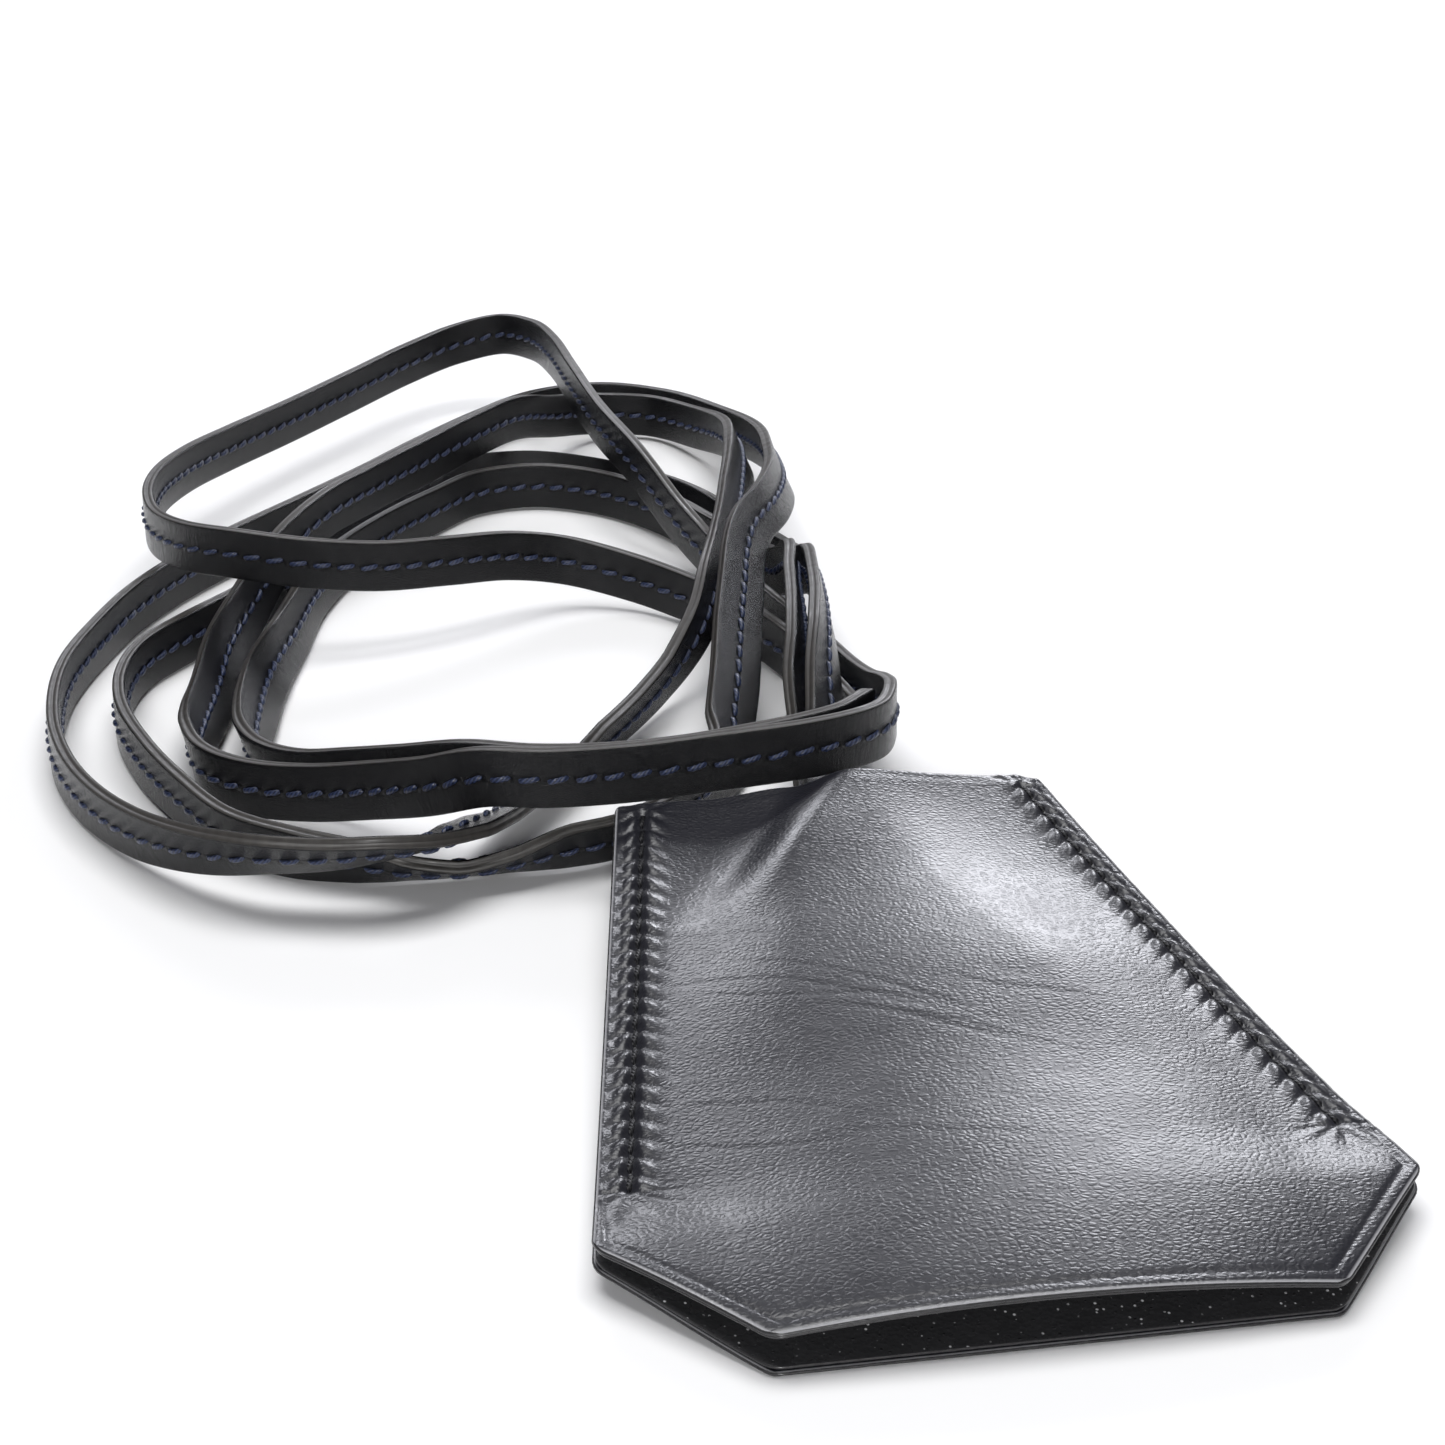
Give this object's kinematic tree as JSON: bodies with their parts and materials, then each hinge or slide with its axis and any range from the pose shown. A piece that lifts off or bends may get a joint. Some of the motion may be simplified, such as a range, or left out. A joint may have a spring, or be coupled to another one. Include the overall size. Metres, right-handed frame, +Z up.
{
  "type": "bell-shaped leather key pouch on a neck strap",
  "caption": "Flat bell-shaped leather key pouch with an open wide mouth, sewn along its sloping sides, on a long flat leather neck strap lying in loose loops.",
  "frame": {"origin": "middle of the bell's footprint, on the surface that it lies on", "axes": "+X across the bell, +Y from the bell's mouth to its narrow top and on towards the strap's loops, +Z up"},
  "size_m": [0.1286, 0.3127, 0.0187],
  "materials": {
    "bell_leather": "satin black leather with a fine grain",
    "lining_leather": "glossy black lining leather",
    "strap_leather": "smooth glossy black leather",
    "seam_thread": "waxed black thread",
    "strap_thread": "blue-black thread"
  },
  "bodies": {
    "bell_and_strap": {"front_panel": "bell_leather", "front_lining": "lining_leather", "back_panel": "bell_leather", "back_lining": "lining_leather", "left_seam_thread": "seam_thread", "right_seam_thread": "seam_thread", "strap_outer_layer": "strap_leather", "strap_inner_layer": "strap_leather", "strap_thread_outer": "strap_thread", "strap_thread_inner": "strap_thread"},
    "inner_strap_end": {"strap_ends": "strap_leather", "key_loop": "strap_leather", "end_thread": "strap_thread"}
  },
  "joints": [
    {"name": "bell_slide", "type": "slide", "parent": "bell_and_strap", "child": "inner_strap_end", "axis": [0, -0.9984, -0.0558], "range_m": [0, 0.05]}
  ]
}
